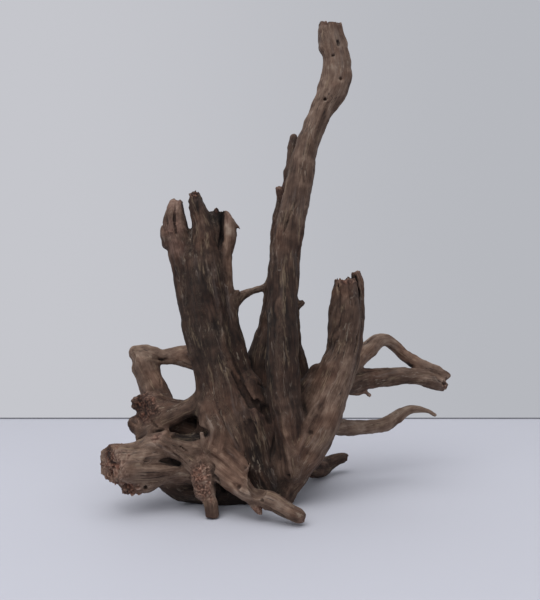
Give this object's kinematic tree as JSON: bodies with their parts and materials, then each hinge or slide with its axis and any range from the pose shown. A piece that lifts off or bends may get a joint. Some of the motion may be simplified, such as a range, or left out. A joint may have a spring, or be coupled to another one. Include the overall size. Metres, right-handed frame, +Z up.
{
  "type": "dry root",
  "caption": "Weathered dry root with a split stump, a tall leaning branch, side branches and torn feet it stands on.",
  "frame": {"origin": "the middle of the bounding box in plan, on the surface the root stands on", "axes": "+Z up; -Y is the front, the side with the reaching front root; +X is the side of the two thin side branches"},
  "size_m": [0.3611, 0.1991, 0.4797],
  "materials": {
    "weathered_wood": "dry, bare, weathered, matt"
  },
  "bodies": {
    "root": {"dry_root": "weathered_wood"}
  },
  "joints": []
}
